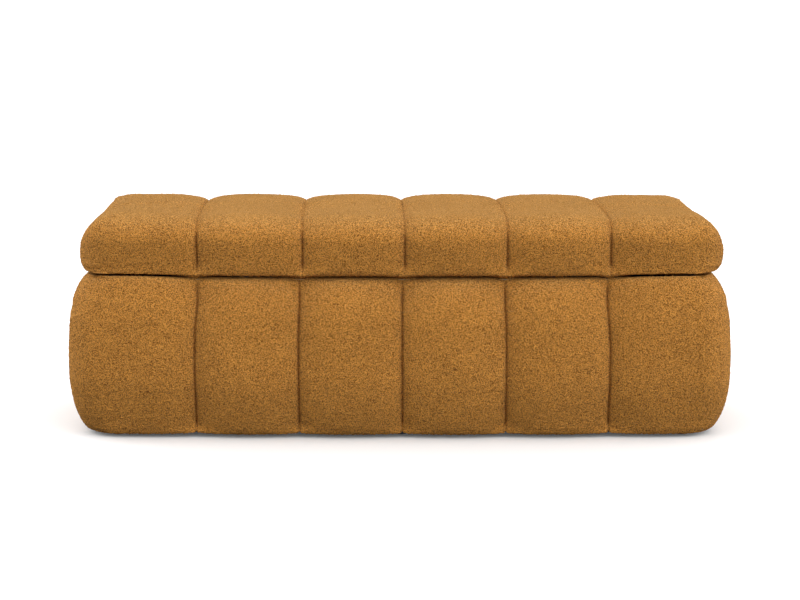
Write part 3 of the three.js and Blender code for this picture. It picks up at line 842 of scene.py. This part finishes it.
def base_bracket_screws(bm):
    """Two heads on each bracket at the well's ends, which look into the well."""
    for place, side in SIDES:
        low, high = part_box("strut_bracket_base_" + place)
        face = side * (max(abs(low.x), abs(high.x)) - BRACKET_PLATE)
        for z in (low.z + BRACKET_HOLE, high.z - BRACKET_HOLE):
            spot = Vector((face, (low.y + high.y) / 2, z))
            screw(bm, spot, (-side, 0, 0), BASE_BRACKET_SCREW)


def lid_bracket_screws(bm):
    """Two heads on each bracket below the lid's board, which look down."""
    for place, side in SIDES:
        low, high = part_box("strut_bracket_lid_" + place)
        x = side * (min(abs(low.x), abs(high.x)) + LID_BRACKET_HOLE)
        for y in (low.y + BRACKET_HOLE, high.y - BRACKET_HOLE):
            spot = Vector((x, y, high.z - BRACKET_PLATE))
            screw(bm, spot, (0, 0, -1), LID_BRACKET_SCREW)


def make_base_screws():
    bm = bmesh.new()
    hinge_screws(bm, "hinge_leaf_base_", BASE_LEAF_TOP, 1)
    base_bracket_screws(bm)
    return finish_mesh("base_screws", bm, "base", "zinc_steel")


def make_lid_screws():
    bm = bmesh.new()
    hinge_screws(bm, "hinge_leaf_lid_", LID_LEAF_UNDERSIDE, -1)
    lid_bracket_screws(bm)
    return finish_mesh("lid_screws", bm, "lid", "zinc_steel")


def staple(bm, centre, along):
    """The crown of a staple: a round wire whose ends turn up into the cloth."""
    side = Vector((-along.y, along.x, 0))
    up = Vector((0, 0, 1))
    rings = []
    for share, rise in STAPLE_PATH:
        middle = centre + along * (share * STAPLE_LENGTH) + up * (rise * STAPLE_RISE)
        turned_up = abs(share) == 0.5
        across = -math.copysign(1, share) * along if turned_up else up
        rings.append([
            bm.verts.new(middle + STAPLE_RADIUS * (math.cos(angle) * side + math.sin(angle) * across))
            for angle in (2 * math.pi * k / STAPLE_SIDES for k in range(STAPLE_SIDES))
        ])
    for start, end in zip(rings, rings[1:]):
        join_loops(bm, start, end)
    bm.faces.new(list(reversed(rings[0])))
    bm.faces.new(rings[-1])


def make_staples(name, node, body, drop):
    """Wire staples round the edge of a flat lining, not quite in line."""
    low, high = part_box(node)
    left, right = low.x + STAPLE_INSET, high.x - STAPLE_INSET
    front, back = low.y + STAPLE_INSET, high.y - STAPLE_INSET
    corners = [(left, front), (right, front), (right, back), (left, back)]
    z = low.z + 0.2 * MM - drop
    bm = bmesh.new()
    for (x0, y0), (x1, y1) in zip(corners, corners[1:] + corners[:1]):
        run = Vector((x1 - x0, y1 - y0, 0))
        along = run.normalized()
        across = Vector((along.y, -along.x, 0))
        count = round(run.length / STAPLE_PITCH)
        for k in range(count):
            centre = Vector((x0, y0, z)) + run * ((k + 0.5) / count)
            staple(bm, centre, along.lerp(across, 0.12 * math.sin(5.1 * k)).normalized())
    return finish_mesh(name, bm, body, "zinc_steel")


# ---- materials ----

def feed(tree, value, target):
    """Links another node's output to an input, or else sets the input."""
    if isinstance(value, bpy.types.NodeSocket):
        tree.links.new(value, target)
    else:
        target.default_value = value


def calculate(tree, operation, *values):
    """The output of a math node on numbers or other nodes' outputs."""
    node = tree.nodes.new("ShaderNodeMath")
    node.operation = operation
    for value, target in zip(values, node.inputs):
        feed(tree, value, target)
    return node.outputs[0]


class Nodes:
    """A node material with short calls for adding and linking nodes."""

    def __init__(self, name):
        self.material = bpy.data.materials.new(name)
        self.material.use_nodes = True
        self.tree = self.material.node_tree
        self.shader = self.tree.nodes["Principled BSDF"]
        coordinates = self.add("ShaderNodeTexCoord")
        self.where = coordinates.outputs["Object"]
        self.facing = coordinates.outputs["Normal"]

    def add(self, kind, **settings):
        """Adds a node; each setting is one of its properties, or else the value of an input."""
        node = self.tree.nodes.new(kind)
        for key, value in settings.items():
            if hasattr(node, key):
                setattr(node, key, value)
            else:
                node.inputs[key.replace("_", " ").title()].default_value = value
        return node

    def link(self, output, target):
        self.tree.links.new(output, target)

    def noise(self, scale, detail=2.0, distortion=0.0, where=None):
        node = self.add("ShaderNodeTexNoise", scale=scale, detail=detail, distortion=distortion)
        self.link(where or self.where, node.inputs["Vector"])
        return node.outputs["Fac"]

    def voronoi(self, scale):
        node = self.add("ShaderNodeTexVoronoi", scale=scale)
        self.link(self.where, node.inputs["Vector"])
        return node.outputs["Distance"]

    def ramp(self, value, stops):
        node = self.add("ShaderNodeValToRGB")
        self.link(value, node.inputs["Fac"])
        points = node.color_ramp.elements
        while len(points) < len(stops):
            points.new(0.5)
        for point, (position, colour) in zip(points, stops):
            point.position = position
            point.color = (*colour, 1)
        return node.outputs["Color"]

    def multiplied(self, factor, a, b):
        """Colour a times colour b, as far as the factor says."""
        node = self.add("ShaderNodeMix", data_type="RGBA", blend_type="MULTIPLY")
        for value, target in ((factor, node.inputs[0]), (a, node.inputs[6]), (b, node.inputs[7])):
            feed(self.tree, (*value, 1) if isinstance(value, tuple) else value, target)
        return node.outputs[2]

    def math(self, operation, *values):
        return calculate(self.tree, operation, *values)

    def bump(self, height, distance, strength=1.0):
        node = self.add("ShaderNodeBump", strength=strength, distance=distance)
        self.link(height, node.inputs["Height"])
        return node.outputs["Normal"]

    def finish(self, colour=None, normal=None, roughness=0.5, metallic=0.0):
        """Feeds the shader, and gives the finished material."""
        if colour is not None:
            self.link(colour, self.shader.inputs["Base Color"])
        if normal is not None:
            self.link(normal, self.shader.inputs["Normal"])
        feed(self.tree, roughness, self.shader.inputs["Roughness"])
        self.shader.inputs["Metallic"].default_value = metallic
        return self.material


# the yarn's own tones, whose low stop is painted shade down in the pits between the loops
BOUCLE_TONES_AND_PAINTED_PIT_SHADE = [
    (0.0, (0.150, 0.046, 0.004)),
    (0.62, (0.555, 0.200, 0.026)),
    (1.0, (0.950, 0.430, 0.084)),
]
# painted sheen: the tint that makes upward faces paler, as light lies on the top
BOUCLE_PAINTED_TOP_SHEEN_TINT = (1.0, 1.25, 1.90)


def boucle_material():
    """Curled yarn: ridged curls among rounded loops, in the yarn's own tones with painted shade, darker and
    redder, down in the pits.

    Where it faces up it is painted paler and calmer, as a painted sheen of light on the top, and slopes
    that turn upward are painted a little darker, as painted shade.
    """
    n = Nodes("boucle")
    fine = n.noise(540.0, detail=1.0, distortion=0.8)
    curls = n.math("SUBTRACT", 1.0, n.math("ABSOLUTE", n.math("MULTIPLY_ADD", fine, 4.0, -2.0)))
    loops = n.math("MULTIPLY", n.voronoi(470.0), 0.6)
    pile = n.math("SUBTRACT", n.math("MULTIPLY", curls, 0.7), loops)
    upward = n.add("ShaderNodeSeparateXYZ")
    n.link(n.facing, upward.inputs[0])
    rising = n.math("MAXIMUM", upward.outputs["Z"], 0.0)
    # share of painted top light, which grows as the surface faces up
    level = n.math("POWER", rising, 4.0)
    # the pits' painted shade is calmed on upward faces
    contrast = n.math("MULTIPLY_ADD", level, -1.95, 2.5)
    # painted shade: the mid tone darkens as a slope turns up, and a little less on the flat top
    middle = n.math("MULTIPLY_ADD", rising, -0.11, n.math("MULTIPLY_ADD", level, 0.035, 0.65))
    # painted shade: the lower the pile, the darker and redder the colour, as if the pits lay in shade
    shown = n.math("MULTIPLY_ADD", n.math("SUBTRACT", pile, 0.125), contrast, middle)
    tone = n.ramp(shown, BOUCLE_TONES_AND_PAINTED_PIT_SHADE)
    clouds = n.ramp(n.noise(9.0, detail=3.0), [(0.3, (0.96, 0.96, 0.96)), (0.7, (1.04, 1.04, 1.04))])
    # painted sheen: upward faces tinted paler
    colour = n.multiplied(level, n.multiplied(1.0, tone, clouds), BOUCLE_PAINTED_TOP_SHEEN_TINT)
    normal = n.bump(pile, 3.2 * MM)
    n.shader.inputs["Sheen Weight"].default_value = 0.15
    n.shader.inputs["Sheen Roughness"].default_value = 0.45
    n.shader.inputs["Sheen Tint"].default_value = (1.0, 0.80, 0.45, 1)
    n.shader.inputs["Specular IOR Level"].default_value = 0.1
    return n.finish(colour, normal, roughness=0.95)


def lining_material(name, colour, weave):
    """A matt non-woven cloth: short felted fibres, with a faint grid of heat spots."""
    n = Nodes(name)
    fibres = n.noise(1600.0, detail=3.0, distortion=2.0)
    spots = n.voronoi(weave)
    height = n.math("ADD", fibres, n.math("MULTIPLY", spots, 0.8))
    shade = n.ramp(height, [
        (0.35, tuple(0.6 * c for c in colour)),
        (0.9, tuple(1.5 * c for c in colour)),
    ])
    normal = n.bump(height, 0.35 * MM, strength=0.8)
    n.shader.inputs["Sheen Weight"].default_value = 0.2
    n.shader.inputs["Specular IOR Level"].default_value = 0.25
    return n.finish(shade, normal, roughness=0.85)


def wood_material(name, pale, dark, ring_scale):
    """Sawn timber along X: long streaks of grain with fine pores."""
    n = Nodes(name)
    stretch = n.add("ShaderNodeMapping")
    stretch.inputs["Scale"].default_value = (0.04, 1.0, 1.0)
    n.link(n.where, stretch.inputs["Vector"])
    along = stretch.outputs["Vector"]
    grain = n.noise(ring_scale, detail=6.0, distortion=1.5, where=along)
    pores = n.noise(ring_scale * 12, detail=2.0, where=along)
    tone = n.math("ADD", n.math("MULTIPLY", grain, 0.75), n.math("MULTIPLY", pores, 0.25))
    colour = n.ramp(tone, [(0.35, dark), (0.62, pale)])
    normal = n.bump(tone, 0.3 * MM, strength=0.5)
    return n.finish(colour, normal, roughness=0.7)


def metal_material(name, colour, roughness, brush):
    """Metal with fine rubbed marks; brush is how far the roughness varies."""
    n = Nodes(name)
    marks = n.noise(900.0, detail=4.0, distortion=0.6)
    cloud = n.noise(70.0, detail=3.0)
    shade = n.ramp(cloud, [(0.3, tuple(0.82 * c for c in colour)), (0.7, colour)])
    uneven = n.math("MULTIPLY_ADD", marks, brush, roughness - 0.5 * brush)
    normal = n.bump(marks, 0.06 * MM, strength=0.4)
    return n.finish(shade, normal, uneven, 1.0)


def moulded_material(name, colour, roughness, grain):
    """Moulded plastic, rubber or paint: an even tone with a fine grained skin."""
    n = Nodes(name)
    skin = n.noise(grain, detail=3.0)
    shade = n.ramp(n.noise(45.0, detail=3.0), [
        (0.3, tuple(0.8 * c for c in colour)),
        (0.7, tuple(1.25 * c for c in colour)),
    ])
    uneven = n.math("MULTIPLY_ADD", skin, 0.2, roughness - 0.1)
    normal = n.bump(skin, 0.12 * MM, strength=0.5)
    return n.finish(shade, normal, uneven)


def make_materials():
    """The record's material slots, each with its look."""
    return {
        "boucle": boucle_material(),
        "board": wood_material("board", (0.50, 0.36, 0.20), (0.33, 0.21, 0.10), 45.0),
        "batten": wood_material("batten", (0.58, 0.42, 0.24), (0.40, 0.26, 0.12), 60.0),
        "lining": lining_material("lining", (0.050, 0.046, 0.044), 420.0),
        "underside": lining_material("underside", (0.016, 0.016, 0.017), 300.0),
        "zinc_steel": metal_material("zinc_steel", (0.43, 0.44, 0.46), 0.36, 0.18),
        "strut_black": moulded_material("strut_black", (0.014, 0.014, 0.015), 0.32, 1400.0),
        "strut_rod": metal_material("strut_rod", (0.70, 0.71, 0.73), 0.12, 0.06),
        "strut_socket": moulded_material("strut_socket", (0.020, 0.020, 0.021), 0.45, 1100.0),
        "glide_plastic": moulded_material("glide_plastic", (0.020, 0.020, 0.020), 0.5, 800.0),
        "rubber": moulded_material("rubber", (0.018, 0.018, 0.018), 0.7, 700.0),
    }


FINISHES = {
    "board": ("_board",),
    "batten": ("corner_block", "cleat", "cross_batten"),
    "zinc_steel": ("hinge_", "strut_bracket"),
    "strut_black": ("strut_cylinder",),
    "strut_rod": ("strut_rod",),
    "strut_socket": ("_socket",),
    "glide_plastic": ("glide_",),
    "rubber": ("bumper_",),
}


def paint_frame(materials):
    """Gives each of the frame's own parts its material."""
    for name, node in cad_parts.items():
        slots = [slot for slot, words in FINISHES.items() if any(word in name for word in words)]
        if slots:
            node.data.materials.clear()
            node.data.materials.append(materials[slots[0]])


# ---- stage ----

FLOOR_HALF = 400.0
LENS = 87.3
SENSOR_WIDTH = 36
CAMERA_PLACE = (0.0, -4.19, 0.970)
CAMERA_TILT = 9.6


def make_floor():
    """A wide pale floor that takes the object's shadow, but throws no light back at it."""
    corners = [(x * FLOOR_HALF, y * FLOOR_HALF, 0) for x, y in ((-1, -1), (1, -1), (1, 1), (-1, 1))]
    mesh = bpy.data.meshes.new("floor")
    mesh.from_pydata(corners, [], [(0, 1, 2, 3)])
    floor = bpy.data.objects.new("floor", mesh)
    bpy.context.scene.collection.objects.link(floor)
    n = Nodes("floor")
    n.shader.inputs["Base Color"].default_value = (0.91, 0.91, 0.91, 1)
    n.shader.inputs["Specular IOR Level"].default_value = 0.1
    n.shader.inputs["Emission Color"].default_value = (1, 1, 1, 1)
    n.shader.inputs["Emission Strength"].default_value = 0.05
    mesh.materials.append(n.finish(roughness=0.8))
    floor.visible_diffuse = False


def make_lights():
    """A soft studio dome: an even upper half, a broad low key from the right, and a fill from the left."""
    world = bpy.data.worlds.new("studio")
    bpy.context.scene.world = world
    world.use_nodes = True
    tree = world.node_tree
    direction = tree.nodes.new("ShaderNodeTexCoord").outputs["Generated"]

    def towards(aim):
        node = tree.nodes.new("ShaderNodeVectorMath")
        node.operation = "DOT_PRODUCT"
        tree.links.new(direction, node.inputs[0])
        node.inputs[1].default_value = Vector(aim).normalized()
        return node.outputs["Value"]

    def lobe(aim, sharpness, strength):
        facing = calculate(tree, "MAXIMUM", towards(aim), 0.0)
        return calculate(tree, "MULTIPLY", calculate(tree, "POWER", facing, sharpness), strength)

    above = tree.nodes.new("ShaderNodeMapRange")
    above.interpolation_type = "SMOOTHSTEP"
    above.inputs["From Min"].default_value = -0.15
    above.inputs["From Max"].default_value = 0.10
    tree.links.new(towards((0, 0, 1)), above.inputs["Value"])
    key = lobe((1, -0.5, 0.1), sharpness=4.0, strength=2.7)
    fill = lobe((-1, 0.4, 0.2), sharpness=8.0, strength=3.5)
    dome = calculate(tree, "ADD", calculate(tree, "ADD", key, fill), 1.2)
    upper = calculate(tree, "MULTIPLY", dome, above.outputs["Result"])
    shown = calculate(tree, "ADD", upper, 0.02)
    background = tree.nodes["Background"]
    tree.links.new(shown, background.inputs["Strength"])
    background.inputs["Color"].default_value = (1, 1, 1, 1)


def make_camera():
    """In front of the middle, a little above the object and looking down at it."""
    data = bpy.data.cameras.new("camera")
    data.lens = LENS
    data.sensor_width = SENSOR_WIDTH
    camera = bpy.data.objects.new("camera", data)
    camera.location = CAMERA_PLACE
    camera.rotation_euler = (math.radians(90 - CAMERA_TILT), 0, 0)
    bpy.context.scene.collection.objects.link(camera)
    bpy.context.scene.camera = camera


make_camera()
make_lights()
make_floor()
bpy.context.scene.view_settings.view_transform = "Standard"

materials = make_materials()
paint_frame(materials)
pieces = [
    make_base_upholstery(),
    make_lid_upholstery(),
    make_well_lining(),
    make_flat_cover("lid_inner_lining", "lid_lining", "lid", "lining", 51),
    make_flat_cover("underside_cover", "dust_cover", "base", "underside", 61),
    make_base_screws(),
    make_lid_screws(),
    make_staples("dust_cover_staples", "dust_cover", "base", 0.35 * MM),
    make_staples("lid_lining_staples", "lid_lining", "lid", 0.30 * MM),
]
for piece in pieces:
    piece.data.materials.append(materials[piece["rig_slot"]])
